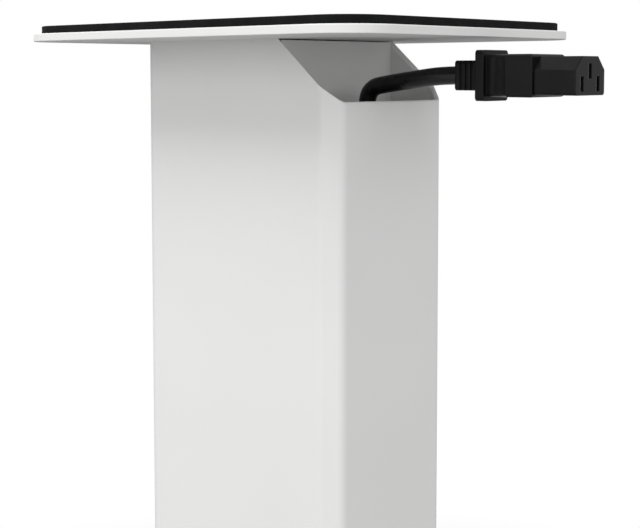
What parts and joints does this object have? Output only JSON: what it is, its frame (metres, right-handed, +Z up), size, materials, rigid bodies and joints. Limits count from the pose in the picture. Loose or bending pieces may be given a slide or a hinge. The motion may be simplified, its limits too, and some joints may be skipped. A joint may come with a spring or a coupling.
{
  "type": "speaker stand",
  "caption": "Speaker stand: a padded top plate on a tall rectangular column over a flat base with levelling feet, with a mains lead run up a duct in the back of the column.",
  "frame": {"origin": "on the floor, under the middle of the base plate and of the top plate", "axes": "+Z up, +Y toward the rear where the mains lead leaves, +X to the left seen from the rear camera side, so X is the stand's width"},
  "size_m": [0.2973, 0.5056, 0.6525],
  "materials": {
    "pad_black": "matt foam rubber pad",
    "paint_white": "satin white powder coat",
    "screw_steel": "zinc plated",
    "bracket_steel": "plain rolled steel",
    "trim_rubber": "matt edge strip",
    "insert_brass": "turned",
    "clip_plastic": "moulded nylon",
    "pin_steel": "drawn wire",
    "tape_foam": "white foam tape",
    "cord_black": "satin black sheath",
    "connector_black": "moulded, fine texture",
    "contact_brass": "nickel flashed",
    "tie_fabric": "woven hook and loop",
    "sole_rubber": "matt",
    "glide_plastic": "moulded nylon",
    "stud_steel": "zinc plated"
  },
  "bodies": {
    "stand": {"top_pad": "pad_black", "top_plate": "paint_white", "top_plate_screws": "screw_steel", "top_bracket": "bracket_steel", "column": "paint_white", "duct_partition": "paint_white", "outlet_trim": "trim_rubber", "base_bracket": "bracket_steel", "base_plate": "paint_white", "base_screws": "screw_steel", "foot_inserts": "insert_brass", "cord_clip_upper": "clip_plastic", "cord_clip_lower": "clip_plastic", "cord_clip_pins": "pin_steel", "cord_clip_tapes": "tape_foam", "cord_riser": "cord_black", "cord_top": "cord_black", "connector_relief": "connector_black", "connector_body": "connector_black", "connector_nose": "connector_black", "connector_contacts": "contact_brass", "cord_lead": "cord_black", "cord_coil": "cord_black", "cord_tie": "tie_fabric", "cord_tail": "cord_black", "plug_relief": "connector_black", "plug_body": "connector_black", "plug_pins": "contact_brass"},
    "upper_latch": {"cord_clip_upper_latch": "clip_plastic"},
    "lower_latch": {"cord_clip_lower_latch": "clip_plastic"},
    "foot_front_left": {"foot_glide_front_left": "glide_plastic", "foot_sole_front_left": "sole_rubber"},
    "stud_front_left": {"foot_stud_front_left": "stud_steel"},
    "foot_front_right": {"foot_glide_front_right": "glide_plastic", "foot_sole_front_right": "sole_rubber"},
    "stud_front_right": {"foot_stud_front_right": "stud_steel"},
    "foot_rear_left": {"foot_glide_rear_left": "glide_plastic", "foot_sole_rear_left": "sole_rubber"},
    "stud_rear_left": {"foot_stud_rear_left": "stud_steel"},
    "foot_rear_right": {"foot_glide_rear_right": "glide_plastic", "foot_sole_rear_right": "sole_rubber"},
    "stud_rear_right": {"foot_stud_rear_right": "stud_steel"}
  },
  "joints": [
    {"name": "upper_latch_hinge", "type": "hinge", "parent": "stand", "child": "upper_latch", "pos_m": [-0.01315, 0.04525, 0.5518], "axis": [0, 0, 1], "range_deg": [0, 100]},
    {"name": "lower_latch_hinge", "type": "hinge", "parent": "stand", "child": "lower_latch", "pos_m": [-0.01315, 0.04525, 0.08], "axis": [0, 0, 1], "range_deg": [0, 100]},
    {"name": "foot_front_left_height", "type": "slide", "parent": "stand", "child": "foot_front_left", "axis": [0, 0, 1], "range_m": [-0.006, 0]},
    {"name": "stud_front_left_turn", "type": "hinge", "parent": "foot_front_left", "child": "stud_front_left", "pos_m": [-0.105, -0.14, 0.012], "axis": [0, 0, 1], "range_deg": [-1730, 0]},
    {"name": "foot_front_right_height", "type": "slide", "parent": "stand", "child": "foot_front_right", "axis": [0, 0, 1], "range_m": [-0.006, 0]},
    {"name": "stud_front_right_turn", "type": "hinge", "parent": "foot_front_right", "child": "stud_front_right", "pos_m": [0.105, -0.14, 0.012], "axis": [0, 0, 1], "range_deg": [-1730, 0]},
    {"name": "foot_rear_left_height", "type": "slide", "parent": "stand", "child": "foot_rear_left", "axis": [0, 0, 1], "range_m": [-0.006, 0]},
    {"name": "stud_rear_left_turn", "type": "hinge", "parent": "foot_rear_left", "child": "stud_rear_left", "pos_m": [-0.105, 0.14, 0.012], "axis": [0, 0, 1], "range_deg": [-1730, 0]},
    {"name": "foot_rear_right_height", "type": "slide", "parent": "stand", "child": "foot_rear_right", "axis": [0, 0, 1], "range_m": [-0.006, 0]},
    {"name": "stud_rear_right_turn", "type": "hinge", "parent": "foot_rear_right", "child": "stud_rear_right", "pos_m": [0.105, 0.14, 0.012], "axis": [0, 0, 1], "range_deg": [-1730, 0]}
  ],
  "couplings": [
    {"joint": "stud_front_left_turn", "follows": "foot_front_left_height", "rad_per_m": 5026.5},
    {"joint": "stud_front_right_turn", "follows": "foot_front_right_height", "rad_per_m": 5026.5},
    {"joint": "stud_rear_left_turn", "follows": "foot_rear_left_height", "rad_per_m": 5026.5},
    {"joint": "stud_rear_right_turn", "follows": "foot_rear_right_height", "rad_per_m": 5026.5}
  ]
}
